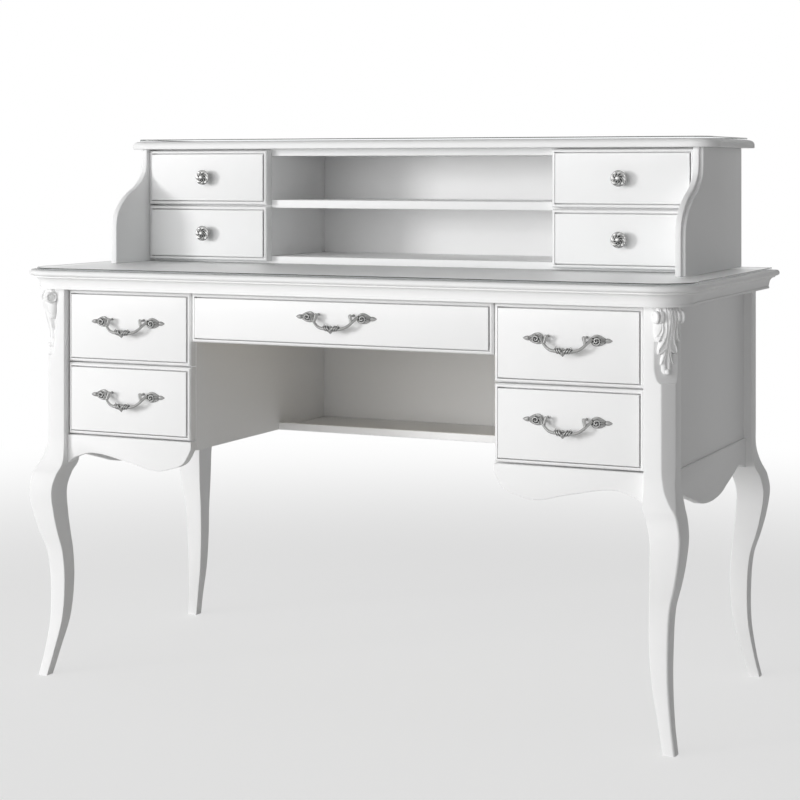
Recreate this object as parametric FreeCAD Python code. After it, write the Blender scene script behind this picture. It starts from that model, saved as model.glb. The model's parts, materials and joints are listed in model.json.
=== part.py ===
import FreeCAD, Part
import os
from math import asin, degrees, sqrt

os.makedirs("parts", exist_ok=True)
V = FreeCAD.Vector

# Lengths are in millimetres. X runs left to right, Y front to back, Z up from the floor.
# The origin is on the floor, in the middle of the desk's overall width and depth.

# Posts and legs
post_span = 1250.0          # outer faces of the posts, left to right
post_depth = 567.0          # outer faces of the posts, front to back
post = 50.5                 # square section of a post
top_under = 740.0           # underside of the desk top, where the posts end
leg_height = 440.0          # where the straight post turns into the curved leg
knee_out = 18.6             # how far the knee stands out from the post
over = 60.0                 # overrun of every cutting or trimming body
flat_arc = 0.002            # an arc that rises less than this is a straight line

# Leg outlines: height as a share of leg_height, then how far the face stands out from the
# post's own face as a share of knee_out
leg_outer_shares = (
    (1.000, 0.000), (0.918, 0.376), (0.877, 0.753), (0.807, 1.000), (0.705, 0.699), (0.625, 0.269),
    (0.534, -0.323), (0.409, -0.559), (0.250, -0.538), (0.102, -0.129), (0.000, 0.323),
)
leg_inner_shares = (
    (0.925, 0.000), (0.877, 0.484), (0.807, 0.860), (0.705, 0.780), (0.625, 0.618), (0.534, 0.403),
    (0.409, 0.323), (0.250, 0.591), (0.102, 1.344), (0.000, 1.882),
)

# Chamfer on the outer corner of a post, measured along the diagonal from the corner
chamfer_low = 13.8          # plain chamfer
chamfer_high = 22.6         # deeper flat that carries the leaf
flat_length = 128.0         # deeper flat, from the top of the post down
flat_stop = 30.0            # its curved stop
stop_shares = ((0.30, 0.045), (0.60, 0.20), (0.85, 0.47))
tongue_above = 17.0         # the chamfer starts to run out this far above leg_height
tongue_length = 71.0
tongue_reach_share = 1.11   # of knee_out, on the diagonal, where the chamfer has run out
tongue_shares = ((0.30, 0.10), (0.60, 0.38), (0.82, 0.70))

# Carved leaf on the deeper flat
leaf_gap = 1.0              # under the desk top
leaf_length = 112.0
leaf_proud = 25.0
leaf_margin = 1.6           # flat left bare beside the leaf
leaf_side_shares = (
    (1.00, 0.62), (0.93, 0.86), (0.82, 1.00), (0.66, 0.86), (0.50, 0.58), (0.34, 0.34),
    (0.20, 0.22), (0.10, 0.30), (0.03, 0.30), (0.00, 0.12),
)
leaf_half_shares = (
    (1.00, 0.81), (0.90, 0.88), (0.70, 0.79), (0.60, 0.79), (0.50, 0.90), (0.485, 0.64),
    (0.42, 0.67), (0.31, 0.79), (0.29, 0.76), (0.28, 0.43), (0.17, 0.55), (0.155, 0.40),
    (0.05, 0.36), (0.00, 0.14),
)
scroll_r = 11.0             # rolled scrolls on both sides of the leaf's head
scroll_out = 13.0           # their axis in front of the flat
scroll_drop = 16.0          # and below the leaf's top
scroll_wide = 20.5          # across, from the leaf's middle to a scroll's outer face
scroll_thick = 6.5

# Desk top
front_overhang = 40.0       # nose in front of the posts
side_overhang = 38.5        # nose beside the posts
top_rear_past = 9.0         # square back edge behind the rear posts
top_thick = 36.0
top_nose = 22.0             # nose to the bottom edge of the moulding
top_radius = 88.0
top_bulge = 5.0             # how far the round corner passes the straight side
glass = 4.0
corner_turn = 135.0         # degrees that a round corner is swept, past its meeting with the side

# Section of the desk top's moulding, from its bottom edge to the edge of the glass: shares of
# top_nose in from the nose, and of top_thick up
top_foot_shares = ((1.0, 0.0), (1.0, 0.14), (0.93, 0.14))
top_cove_shares = ((0.93, 0.14), (0.77, 0.44), (0.43, 0.57))
top_nose_shares = ((0.34, 0.57), (0.0, 0.82), (0.08, 0.904), (0.68, 1.0))

# Case: aprons, panels and boards
case_height = 279.0         # underside of the desk top to the front aprons' top edge
panel = 16.0
side_recess = 16.0          # side panel's face behind the post's
apron_recess = 11.5         # side apron's face behind the post's
side_apron_less = 2.0       # side apron's top edge below the front apron's
side_apron_drop = 83.0
side_apron_shares = ((0.0, 1.0), (0.25, 0.95), (0.43, 0.82), (0.645, 0.657), (0.80, 0.548), (1.0, 0.675))
front_apron_drop = 58.0
front_apron_set = 12.0      # front apron's face behind the post's
front_apron_shares = (
    (0.0, 0.224), (0.03, 0.50), (0.066, 0.724), (0.128, 0.862), (0.284, 1.0), (0.51, 0.776),
    (0.783, 0.560), (0.93, 0.72), (1.0, 0.948),
)
knee_half = 302.0           # kneehole face of an inner panel
inner_drop = 17.5           # inner panel's lower edge below the front apron's top edge
board = 16.0
floor_rise = 2.0            # pedestal bottom above the front apron's top edge
middle_rise = 5.6           # middle board's top above the joint of the two drawer fronts
back_panel = 8.0
back_set = 2.0              # back panels in from the rear posts' face
shelf_depth = 202.0         # low shelf across the kneehole
shelf_floor = 4.0
shelf_rail = 14.4           # height of the rail along its front

# Drawer fronts: raised field, groove, flat and quarter round
field_set = 9.5             # field's face behind the post's
field_rise = 2.6
border = 8.0
ovolo = 6.0
groove = 1.0
groove_deep = 1.0
front_thick = 22.0
front_gap = 2.4             # round each front
back_gap = 0.5              # behind each front
centre_front = 90.2         # height of the centre drawer's front

# Drawer boxes and what they slide on
slide_gap = 0.3
box_side = 12.0
box_bottom = 5.0
bottom_rise = 8.0
bottom_in = 5.0             # how far the bottom is let into the sides
box_less = 28.7             # box lower than its front
box_clear = 45.0            # behind a closed pedestal drawer
centre_clear = 85.0
guide_h = 16.0
guide_past = 3.2            # pedestal guide's face in from the post's inner face
centre_lift = 8.0           # centre runner's top above the lower edge of its front
centre_runner = 7.0
centre_runner_wide = 38.0
centre_guide = 16.0

# Hutch
hutch_height = 228.0        # side boards
hutch_set = 33.0            # outer face in from the posts'
hutch_side = 17.5
side_step = 6.5             # outer layer of a side board, which stops short of its front edge
side_step_back = 7.0
side_step_down = 4.0
side_high_depth = 272.0     # side board's depth at its top
side_low_depth = 385.0      # and at its foot
s_start = 72.0              # S-curve, from the foot up
s_rise = 133.0
s_shares = (
    (0.0, 0.0), (0.06, 0.007), (0.19, 0.05), (0.30, 0.14), (0.41, 0.28), (0.51, 0.46), (0.60, 0.68),
    (0.69, 0.83), (0.79, 0.94), (0.88, 0.985), (1.0, 1.0),
)
hutch_top_thick = 16.0
hutch_overhang = 23.0       # nose beside the sides
hutch_front_overhang = 16.0
hutch_nose = 14.0
hutch_radius = 46.0
hutch_bulge = 3.0
hutch_edge_share = 0.40     # of the thickness, upright below the round
hutch_board = 14.0
hutch_back = 8.0
hutch_field_set = 6.0       # drawer field's face behind the side board's upper front edge
divider_set = 1.5           # divider's inner face in from the kneehole's
hutch_front_rise = 4.6      # lower drawer fronts above the glass
hutch_front_less = 2.6      # upper drawer fronts below the hutch top
hutch_front_gap = 3.4       # between the two
hutch_shelf_rise = 11.5     # shelf's top above the middle of that gap
hutch_box_less = 30.0
hutch_box_clear = 23.5
hutch_box_gap = 0.5

# Cast pulls with a fixed bail, measured from the middle of the pull on the field
pull_up = 10.0              # above the middle of the field
pull_half = 80.0
bud_r = 9.5
bud_shares = ((0.42, 0.50), (0.60, 1.0), (0.80, 0.72), (1.0, 0.08))
arm_half = 36.0
arm_r = 4.8
arm_shares = ((0.0, 1.0), (1.0, 0.92))
arm_out = 20.0
arm_past = 3.0              # arm's end in front of the bail's middle
arm_up = 2.0
bail_r = 3.0
bail_drop = 22.0
knot_half = 11.0
knot_r = 6.6
knot_shares = ((-1.0, 0.50), (-0.25, 1.0), (0.25, 1.0), (1.0, 0.50))
drop_low = 28.0
drop_r = 4.2
drop_shares = ((0.66, 0.70), (0.84, 1.0), (1.0, 0.10))
stem_sides = 7              # sides of every stem of the casting
bail_runs = 3               # straight runs of the bail, each side of its middle

# Cast knobs
knob_r = 15.0
knob_out = 25.0
knob_shares = (
    (0.0, 0.42), (0.46, 0.42), (0.58, 1.0), (0.72, 1.0), (0.92, 0.62), (1.0, 0.30),
)
petals = 12

# Planes and levels that several pieces share
half = post_span / 2
mid_y = (front_overhang - knee_out) / 2
front = mid_y - post_depth / 2
rear = mid_y + post_depth / 2
post_in = half - post
top_z = top_under + top_thick
nose_x = half + side_overhang
nose_y = front - front_overhang
top_back = rear + top_rear_past
apron_top = top_under - case_height
inner_under = apron_top - inner_drop
shelf_top = inner_under + shelf_floor
field_y = front + field_set
drawer_back = field_y + front_thick
inner_front = drawer_back + back_gap
knee_outer = knee_half + panel
panel_in = half - side_recess - panel
back_out = rear - back_set
back_in = back_out - back_panel
guide_in = post_in - guide_past
fronts_low = apron_top + front_gap
fronts_high = top_under - front_gap
fronts_mid = (fronts_low + fronts_high) / 2
floor_top = apron_top + floor_rise
middle_top = fronts_mid + middle_rise
centre_low = fronts_high - centre_front
centre_runner_top = centre_low + centre_lift
centre_box_half = knee_half - centre_guide

hutch_floor = top_z + glass
hutch_under = hutch_floor + hutch_height
hutch_half = half - hutch_set
hutch_inner = hutch_half - hutch_side
hutch_side_y = rear - side_high_depth
hutch_nose_y = hutch_side_y - hutch_front_overhang
hutch_field_y = hutch_side_y + hutch_field_set
hutch_drawer_back = hutch_field_y + front_thick
hutch_front = hutch_drawer_back + back_gap
hutch_rear = rear - hutch_back
divider_in = knee_half - divider_set
divider_out = divider_in + panel
hutch_bottom_top = hutch_floor + hutch_board
hutch_boards_under = hutch_under - hutch_board
hutch_low = hutch_floor + hutch_front_rise
hutch_high = hutch_under - hutch_front_less
hutch_mid = (hutch_low + hutch_high) / 2
hutch_shelf_top = hutch_mid + hutch_shelf_rise
hutch_shelf_under = hutch_shelf_top - board


def box(x0, x1, y0, y1, z0, z1):
    return Part.makeBox(abs(x1 - x0), y1 - y0, z1 - z0, V(min(x0, x1), y0, z0))


def scaled(shares, first, second):
    return [(a * first, b * second) for a, b in shares]


def bend(start, end, way):
    """Three points of the arc that leaves start in the direction way and comes to end."""
    chord = end - start
    along = V(chord).normalize()
    lean = along.dot(way)
    middle = (start + end) / 2 + (way - along * lean) * (chord.Length / (2 * (1 + lean)))
    return [start, middle, end]


def line_or_arc(points):
    """A straight edge, or an arc through three points that aren't in line."""
    first, last = points[0], points[-1]
    if len(points) == 2 or (points[1] - (first + last) / 2).Length < flat_arc:
        return Part.makeLine(first, last)
    return Part.Arc(*points).toShape()


def smooth(points, first=None, last=None):
    """Tangent arcs through the points, two to a span, with given directions at the ends if stated."""
    ways = [V(first or points[1] - points[0]).normalize()]
    ways += [(points[i + 1] - points[i - 1]).normalize() for i in range(1, len(points) - 1)]
    ways += [V(last or points[-1] - points[-2]).normalize()]
    edges = []
    for a, b, u, w in zip(points, points[1:], ways, ways[1:]):
        chord = b - a
        both = chord.dot(u + w)
        square = chord.dot(chord)
        reach = square / (both + sqrt(both ** 2 + 2 * (1 - u.dot(w)) * square))
        joint = (a + u * reach + b - w * reach) / 2
        edges += [line_or_arc(bend(a, joint, u)), line_or_arc(bend(b, joint, -w))]
    return edges


def polyline(points):
    return [Part.makeLine(points[i], points[i + 1]) for i in range(len(points) - 1)]


def face(edges):
    return Part.Face(Part.Wire(Part.__sortEdges__(edges)))


def ring(sides, middle, along, across, radius):
    """The corners of a many-sided section round a middle point, square to the direction along."""
    turns = [FreeCAD.Rotation(along, 360 * (k + 1 / 2) / sides) for k in range(sides)]
    return [middle + turn.multVec(across) * radius for turn in turns]


def skinned(rings):
    """A solid with flat faces from one ring of corners to the next, closed at both ends."""
    outlines = [rings[0], rings[-1]]
    for low, high in zip(rings, rings[1:]):
        outlines += [[low[k - 1], low[k], high[k], high[k - 1]] for k in range(len(low))]
    solid = Part.Solid(Part.Shell([face(polyline(corners + corners[:1])) for corners in outlines]))
    return solid if solid.Volume > 0 else solid.reversed()


def faceted(sides, shares, length, radius, base, along, across):
    """A many-sided form from rings of (share of length along, share of radius)."""
    places = scaled(shares, length, radius)
    return skinned([ring(sides, base + along * a, along, across, b) for a, b in places])


def mirror_x(shape):
    return shape.mirror(V(0, 0, 0), V(1, 0, 0))


def mirror_y(shape):
    return shape.mirror(V(0, mid_y, 0), V(0, 1, 0))


def fused(shapes):
    return shapes[0].multiFuse(shapes[1:]).removeSplitter()


def save(name, *solids):
    shape = solids[0] if len(solids) == 1 else Part.makeCompound(list(solids))
    shape.exportStep("parts/" + name + ".step")


def slab(curves, low_z, side_x, front_y, back_y, radius, bulge):
    """A top whose edge section runs along the front, round two corners and along the sides.

    curves holds runs of points, from the bottom up: x in from the nose, y above low_z.
    Each round corner passes the straight side by bulge and meets it at a kink.
    """
    xc = side_x + bulge - radius
    yc = front_y + radius
    low = curves[0][0]
    high = curves[-1][-1]

    def edges(place):
        return [line_or_arc([place(point) for point in curve]) for curve in curves]

    def right(point):
        return V(side_x - point.x, yc, low_z + point.y)

    def left(point):
        return V(point.x - side_x, yc, low_z + point.y)

    def ahead(point):
        return V(xc, front_y + point.x, low_z + point.y)

    across = [Part.makeLine(left(point), right(point)) for point in (low, high)]
    sides = face(edges(right) + edges(left) + across).extrude(V(0, back_y - yc, 0))
    foot = V(xc, yc, low_z + low.y)
    head = V(xc, yc, low_z + high.y)
    section = face(edges(ahead) + polyline([ahead(low), foot, head, ahead(high)]))
    nose = section.extrude(V(-2 * xc, 0, 0))
    corner = section.revolve(foot, V(0, 0, 1), corner_turn)
    return fused([sides, nose, corner, mirror_x(corner)])


def section_points(shares, wide, high):
    return [V(a, b, 0) for a, b in scaled(shares, wide, high)]


def desk_top():
    foot = section_points(top_foot_shares, top_nose, top_thick)
    cove = section_points(top_cove_shares, top_nose, top_thick)
    quirk, nose, turn, seat = section_points(top_nose_shares, top_nose, top_thick)
    curves = [foot[:2], foot[1:], cove, [cove[-1], quirk], bend(nose, quirk, V(0, -1, 0))[::-1]]
    curves += [bend(nose, turn, V(0, 1, 0)), [turn, seat]]
    return slab(curves, top_under, nose_x, nose_y, top_back, top_radius, top_bulge)


def hutch_slab(curves, low_z):
    side_x = hutch_half + hutch_overhang
    return slab(curves, low_z, side_x, hutch_nose_y, top_back, hutch_radius, hutch_bulge)


def hutch_top():
    low = V(0, 0, 0)
    edge = V(0, hutch_edge_share * hutch_top_thick, 0)
    seat = V(hutch_nose, hutch_top_thick, 0)
    return hutch_slab([[low, edge], bend(seat, edge, V(-1, 0, 0))[::-1]], hutch_under)


def desk_glass():
    inset = top_nose * top_nose_shares[-1][0]
    curves = [[V(inset, 0, 0), V(inset, glass, 0)]]
    return slab(curves, top_z, nose_x, nose_y, top_back, top_radius, top_bulge)


def hutch_glass():
    return hutch_slab([[V(hutch_nose, 0, 0), V(hutch_nose, glass, 0)]], hutch_under + hutch_top_thick)


diagonal = V(1, -1, 0) / sqrt(2)
sideways = V(1, 1, 0) / sqrt(2)


def on_corner(out, z, side=-over):
    """A point by its distance outwards on the diagonal of the right front post's outer corner."""
    return V(half, front, z) + diagonal * out + sideways * side


def leg_face(place):
    """The sawn outline of a post and its leg; place maps (stand-out, height) to a point."""
    outer = [place(out * knee_out, z * leg_height) for z, out in leg_outer_shares]
    inner = [place(out * knee_out - post, z * leg_height) for z, out in leg_inner_shares]
    edges = smooth(outer, V(0, 0, -1)) + smooth(inner, V(0, 0, -1))
    edges += polyline([outer[0], place(0, top_under), place(-post, top_under), inner[0]])
    edges += polyline([outer[-1], inner[-1]])
    return face(edges)


def chamfer_cut(with_flat):
    """All that lies outside the chamfer of the right front post, down to where it runs out."""
    high = top_under + over
    tongue_top = leg_height + tongue_above
    reach = tongue_reach_share * knee_out
    rise = reach + chamfer_low
    shares = ((0, 0),) + tongue_shares + ((1, 1),)
    run = [on_corner(b * rise - chamfer_low, tongue_top - a * tongue_length) for a, b in shares]
    clear = [on_corner(reach + over, tongue_top - tongue_length), on_corner(reach + over, high)]
    edges = smooth(run, V(0, 0, -1)) + polyline([run[-1]] + clear)
    depth = chamfer_low
    start = run[0]
    if with_flat:
        depth = chamfer_high
        stop_z = top_under - flat_length + flat_stop
        shares = ((0, 0),) + stop_shares + ((1, 1),)
        stop = [on_corner(b * (depth - chamfer_low) - depth, stop_z - a * flat_stop) for a, b in shares]
        edges += smooth(stop, V(0, 0, -1)) + polyline([stop[-1], run[0]])
        start = stop[0]
    edges += polyline([clear[1], on_corner(-depth, high), start])
    return face(edges).extrude(sideways * (2 * over))


def leg(with_flat):
    """The right front post and leg, sawn to one outline from two sides and chamfered."""
    by_x = leg_face(lambda out, z: V(half + out, front - over, z)).extrude(V(0, post + 2 * over, 0))
    by_y = leg_face(lambda out, z: V(half + over, front - out, z)).extrude(V(-post - 2 * over, 0, 0))
    return by_x.common(by_y).cut(chamfer_cut(with_flat))


def leaf(post_and_leg):
    """The right carved leaf, seated on its post: side and lobed front outlines, a scroll at each side."""
    top = top_under - leaf_gap
    low = top - leaf_length
    wide = chamfer_high - leaf_margin
    bow = [on_corner(b * leaf_proud - chamfer_high, low + a * leaf_length) for a, b in leaf_side_shares]
    side = smooth(bow)
    side += polyline([bow[0], on_corner(-chamfer_high, top), on_corner(-chamfer_high, low), bow[-1]])
    body = face(side).extrude(sideways * (2 * over))
    behind = -chamfer_high - over
    lobes = [on_corner(behind, low + a * leaf_length, b * wide) for a, b in leaf_half_shares]
    lobes += [on_corner(behind, low + a * leaf_length, -b * wide) for a, b in leaf_half_shares[::-1]]
    solid = body.common(face(polyline(lobes + [lobes[0]])).extrude(diagonal * (leaf_proud + 2 * over)))
    for way in (-1, 1):
        start = on_corner(scroll_out - chamfer_high, top - scroll_drop, way * scroll_wide)
        solid = solid.fuse(Part.makeCylinder(scroll_r, scroll_thick, start, sideways * -way))
    return solid.removeSplitter().cut(post_and_leg)


def scallop(points, top, push):
    """A board with a straight top edge and a curved lower edge, pushed to its thickness."""
    edges = smooth(points) + polyline([points[-1], top[1], top[0], points[0]])
    return face(edges).extrude(push)


def side_apron():
    span = post_depth / 2 - post
    x = half - apron_recess
    z = apron_top - side_apron_less
    back_half = [V(x, mid_y + a * span, z - b * side_apron_drop) for a, b in side_apron_shares]
    front_half = [V(x, mid_y - a * span, z - b * side_apron_drop) for a, b in side_apron_shares[:0:-1]]
    return scallop(front_half + back_half, [V(x, mid_y - span, z), V(x, mid_y + span, z)], V(-panel, 0, 0))


def front_apron():
    width = post_in - knee_half
    y = front + front_apron_set
    points = [V(knee_half + a * width, y, apron_top - b * front_apron_drop) for a, b in front_apron_shares]
    return scallop(points, [V(knee_half, y, apron_top), V(post_in, y, apron_top)], V(0, inner_front - y, 0))


def pedestal_board(top):
    """A board between the inner panel and the posts, widened to the side panel between them."""
    main = box(knee_outer, post_in, inner_front, back_in, top - board, top)
    return fused([main, box(post_in, panel_in, front + post, rear - post, top - board, top)])


def hutch_side_layer(x0, x1, back, down):
    """One layer of the right hutch side, its S-curved front edge set back and down."""
    high_y = hutch_side_y + back
    low_y = rear - side_low_depth + back
    start = hutch_floor + s_start - down
    points = [V(x0, low_y + b * (high_y - low_y), start + a * s_rise) for a, b in s_shares]
    corners = [V(x0, high_y, hutch_under), V(x0, rear, hutch_under)]
    corners += [V(x0, rear, hutch_floor), V(x0, low_y, hutch_floor)]
    edges = smooth(points, V(0, 0, 1), V(0, 0, 1)) + polyline([points[-1]] + corners + [points[0]])
    return face(edges).extrude(V(x1 - x0, 0, 0))


def hutch_side_board():
    inner = hutch_side_layer(hutch_inner, hutch_half - side_step, 0, 0)
    return inner.fuse(hutch_side_layer(hutch_half - side_step, hutch_half, side_step_back, side_step_down))


def raised_front(x0, x1, z0, z1, y):
    """An overlaid drawer front, given by its edges: quarter round, flat, groove, and a field at y."""
    plate_y = y + field_rise
    plate = box(x0, x1, plate_y, y + front_thick, z0, z1)
    rim = [e for e in plate.Edges if all(abs(v.Y - plate_y) < slide_gap for v in e.Vertexes)]
    plate = plate.makeFillet(ovolo, rim)
    sunk = plate_y + groove_deep
    inset = border - groove
    hollow = box(x0 + inset, x1 - inset, plate_y - over, sunk, z0 + inset, z1 - inset)
    field = box(x0 + border, x1 - border, y, sunk, z0 + border, z1 - border)
    return plate.cut(hollow).fuse(field).removeSplitter()


def drawer_box(x0, x1, y, depth, z, height):
    """Two sides, a back, and a bottom let into the sides; the drawer front closes it."""
    floor = z + bottom_rise
    top = z + height
    end = y + depth
    let_in = box_side - bottom_in
    bottom = box(x0 + let_in, x1 - let_in, y, end, floor, floor + box_bottom)
    left = box(x0, x0 + box_side, y, end, z, top).cut(bottom)
    right = box(x1 - box_side, x1, y, end, z, top).cut(bottom)
    back = box(x0 + box_side, x1 - box_side, end - box_side, end, floor + box_bottom, top)
    return [left, right, back, bottom]


def bail_bar():
    """The bail: a bar bent between the two arms, in straight runs round one arc."""
    radius = (arm_half ** 2 + bail_drop ** 2) / (2 * bail_drop)
    hub = V(0, -arm_out, arm_up - bail_drop + radius)
    turn = degrees(asin(arm_half / radius))
    rings = []
    for k in range(-bail_runs, bail_runs + 1):
        swing = FreeCAD.Rotation(V(0, -1, 0), turn * k / bail_runs)
        middle = hub + swing.multVec(V(0, 0, -radius))
        rings.append(ring(stem_sides, middle, swing.multVec(V(1, 0, 0)), V(0, 1, 0), bail_r))
    return skinned(rings)


def pull(x, y, z):
    """A cast pull: two buds seated on the field, two arms, a knotted bail and a drop."""
    along, up = V(1, 0, 0), V(0, 0, 1)
    bud = faceted(stem_sides, bud_shares, pull_half, bud_r, V(0, 0, 0), along, up)
    bud = bud.cut(box(0, pull_half + over, 0, over, -over, over))
    shoulder = V(arm_half, 0, arm_up)
    arm = faceted(stem_sides, arm_shares, arm_out + arm_past, arm_r, shoulder, V(0, -1, 0), up)
    hang = V(0, -arm_out, arm_up - bail_drop)
    knot = faceted(stem_sides, knot_shares, knot_half, knot_r, hang, along, up)
    drop = faceted(stem_sides, drop_shares, drop_low, drop_r, V(0, -arm_out, 0), -up, along)
    casting = fused([bud, arm, mirror_x(bud), mirror_x(arm), bail_bar(), knot, drop])
    casting.translate(V(x, y, z))
    return casting


def knob(x, y, z):
    """A cast rosette knob on a neck, one side to each petal."""
    return faceted(petals, knob_shares, knob_out, knob_r, V(x, y, z), V(0, -1, 0), V(0, 0, 1))


def drawer(name, x_span, z_span, y, box_span, box_z, depth, height, with_bail):
    """One drawer's three nodes, from the edges of its front and the place of its box."""
    x = (x_span[0] + x_span[1]) / 2
    z = (z_span[0] + z_span[1]) / 2
    save(name + "_front", raised_front(x_span[0], x_span[1], z_span[0], z_span[1], y))
    save(name + "_box", *drawer_box(box_span[0], box_span[1], y + front_thick, depth, box_z, height))
    if with_bail:
        save(name + "_pull", pull(x, y, z + pull_up))
    else:
        save(name + "_knob", knob(x, y, z))


# Desk
save("desk_top", desk_top())
save("desk_top_glass", desk_glass())

front_leg = leg(True)
rear_leg = mirror_y(leg(False))
save("front_right_leg", front_leg)
save("front_left_leg", mirror_x(front_leg))
save("rear_right_leg", rear_leg)
save("rear_left_leg", mirror_x(rear_leg))

side_z = apron_top - side_apron_less
for name, solid in (
    ("leaf", leaf(front_leg)),
    ("side_panel", box(panel_in, panel_in + panel, front + post, rear - post, side_z, top_under)),
    ("side_apron", side_apron()),
    ("front_apron", front_apron()),
    ("inner_panel", box(knee_half, knee_outer, inner_front, back_out, inner_under, top_under)),
):
    save("right_" + name, solid)
    save("left_" + name, mirror_x(solid))

for name, solid in (
    ("pedestal_bottoms", pedestal_board(floor_top)),
    ("pedestal_middle_boards", pedestal_board(middle_top)),
    ("pedestal_backs", box(knee_outer, post_in, back_in, back_out, inner_under, top_under)),
):
    save(name, solid, mirror_x(solid))

save("kneehole_back", box(-knee_half, knee_half, back_in, back_out, shelf_top, top_under))
shelf_front = back_in - shelf_depth
shelf_board = box(-knee_half, knee_half, shelf_front, back_out, inner_under, shelf_top)
rail = box(-knee_half, knee_half, shelf_front, shelf_front + board, inner_under, inner_under + shelf_rail)
save("kneehole_shelf", fused([shelf_board, rail]))

runner_in = knee_half - centre_runner_wide
runner_low = centre_runner_top - centre_runner
runner_high = centre_runner_top + guide_h
runners = [
    box(guide_in, panel_in, front + post, rear - post, floor_top, floor_top + guide_h),
    box(guide_in, panel_in, front + post, rear - post, middle_top, middle_top + guide_h),
    box(runner_in, knee_half, inner_front, back_in, runner_low, centre_runner_top),
    box(centre_box_half + slide_gap, knee_half, inner_front, back_in, centre_runner_top, runner_high),
]
save("drawer_runners", *(runners + [mirror_x(runner) for runner in runners]))

# Hutch
save("hutch_top", hutch_top())
save("hutch_top_glass", hutch_glass())
right_side = hutch_side_board()
save("hutch_right_side", right_side)
save("hutch_left_side", mirror_x(right_side))

divider = box(divider_in, divider_out, hutch_front, hutch_rear, hutch_bottom_top, hutch_boards_under)
save("hutch_dividers", divider, mirror_x(divider))
between = box(divider_out, hutch_inner, hutch_front, hutch_rear, hutch_shelf_under, hutch_shelf_top)
lowest = box(-hutch_inner, hutch_inner, hutch_front, hutch_rear, hutch_floor, hutch_bottom_top)
highest = box(-hutch_inner, hutch_inner, hutch_front, hutch_rear, hutch_boards_under, hutch_under)
save("hutch_boards", lowest, highest, between, mirror_x(between))
shelf = box(-divider_in, divider_in, hutch_front, hutch_rear, hutch_shelf_under, hutch_shelf_top)
save("hutch_shelf", shelf)
save("hutch_back", box(-hutch_inner, hutch_inner, hutch_rear, rear, hutch_floor, hutch_under))

# Drawers
upper = (fronts_mid + front_gap / 2, fronts_high)
lower = (fronts_low, fronts_mid - front_gap / 2)
hutch_upper = (hutch_mid + hutch_front_gap / 2, hutch_high)
hutch_lower = (hutch_low, hutch_mid - hutch_front_gap / 2)
ped_depth = back_in - drawer_back - box_clear
hutch_depth = hutch_rear - hutch_drawer_back - hutch_box_clear
for name, sign in (("left", -1), ("right", 1)):
    x_span = sorted((sign * (knee_half + front_gap / 2), sign * (post_in - front_gap)))
    box_span = sorted((sign * (knee_outer + slide_gap), sign * (guide_in - slide_gap)))
    for level, z_span, base in (("upper", upper, middle_top), ("lower", lower, floor_top)):
        label = name + "_" + level + "_drawer"
        height = z_span[1] - z_span[0] - box_less
        drawer(label, x_span, z_span, field_y, box_span, base + slide_gap, ped_depth, height, True)
    x_span = sorted((sign * (divider_in + hutch_box_gap), sign * (hutch_inner - hutch_box_gap)))
    box_span = sorted((sign * (divider_out + hutch_box_gap), sign * (hutch_inner - hutch_box_gap)))
    levels = (("upper", hutch_upper, hutch_shelf_top), ("lower", hutch_lower, hutch_bottom_top))
    for level, z_span, base in levels:
        label = "hutch_" + name + "_" + level + "_drawer"
        height = z_span[1] - z_span[0] - hutch_box_less
        drawer(label, x_span, z_span, hutch_field_y, box_span, base + slide_gap, hutch_depth, height, False)

centre_half = knee_half - front_gap / 2
centre_depth = back_in - drawer_back - centre_clear
drawer(
    "centre_drawer", (-centre_half, centre_half), (centre_low, fronts_high), field_y,
    (-centre_box_half, centre_box_half), centre_runner_top + slide_gap, centre_depth,
    centre_front - box_less, True,
)
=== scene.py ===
import json
from math import acos, cos, pi, radians, sin, sqrt

import bpy
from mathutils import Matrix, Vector

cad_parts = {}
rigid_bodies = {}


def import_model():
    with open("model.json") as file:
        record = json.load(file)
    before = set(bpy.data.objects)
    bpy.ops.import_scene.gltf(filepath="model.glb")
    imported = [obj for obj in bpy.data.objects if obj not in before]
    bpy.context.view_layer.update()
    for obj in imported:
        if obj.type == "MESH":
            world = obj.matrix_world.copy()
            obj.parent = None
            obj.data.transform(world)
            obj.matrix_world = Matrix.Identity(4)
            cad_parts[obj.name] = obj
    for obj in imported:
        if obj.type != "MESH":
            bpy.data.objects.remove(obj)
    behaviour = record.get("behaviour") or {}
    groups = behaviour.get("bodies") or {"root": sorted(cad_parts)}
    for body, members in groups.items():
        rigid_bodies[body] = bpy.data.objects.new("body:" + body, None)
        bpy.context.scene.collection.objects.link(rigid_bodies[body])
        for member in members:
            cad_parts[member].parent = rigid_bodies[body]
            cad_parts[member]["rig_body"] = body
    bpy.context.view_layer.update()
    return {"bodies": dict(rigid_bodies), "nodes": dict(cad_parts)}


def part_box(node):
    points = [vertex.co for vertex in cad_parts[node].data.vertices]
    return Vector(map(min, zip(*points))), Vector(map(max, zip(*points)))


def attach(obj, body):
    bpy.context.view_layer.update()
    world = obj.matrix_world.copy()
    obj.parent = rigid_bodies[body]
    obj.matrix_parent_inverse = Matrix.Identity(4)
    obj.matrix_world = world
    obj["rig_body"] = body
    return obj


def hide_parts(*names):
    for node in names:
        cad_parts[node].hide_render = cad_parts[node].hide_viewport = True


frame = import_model()

mm = 0.001

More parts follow.
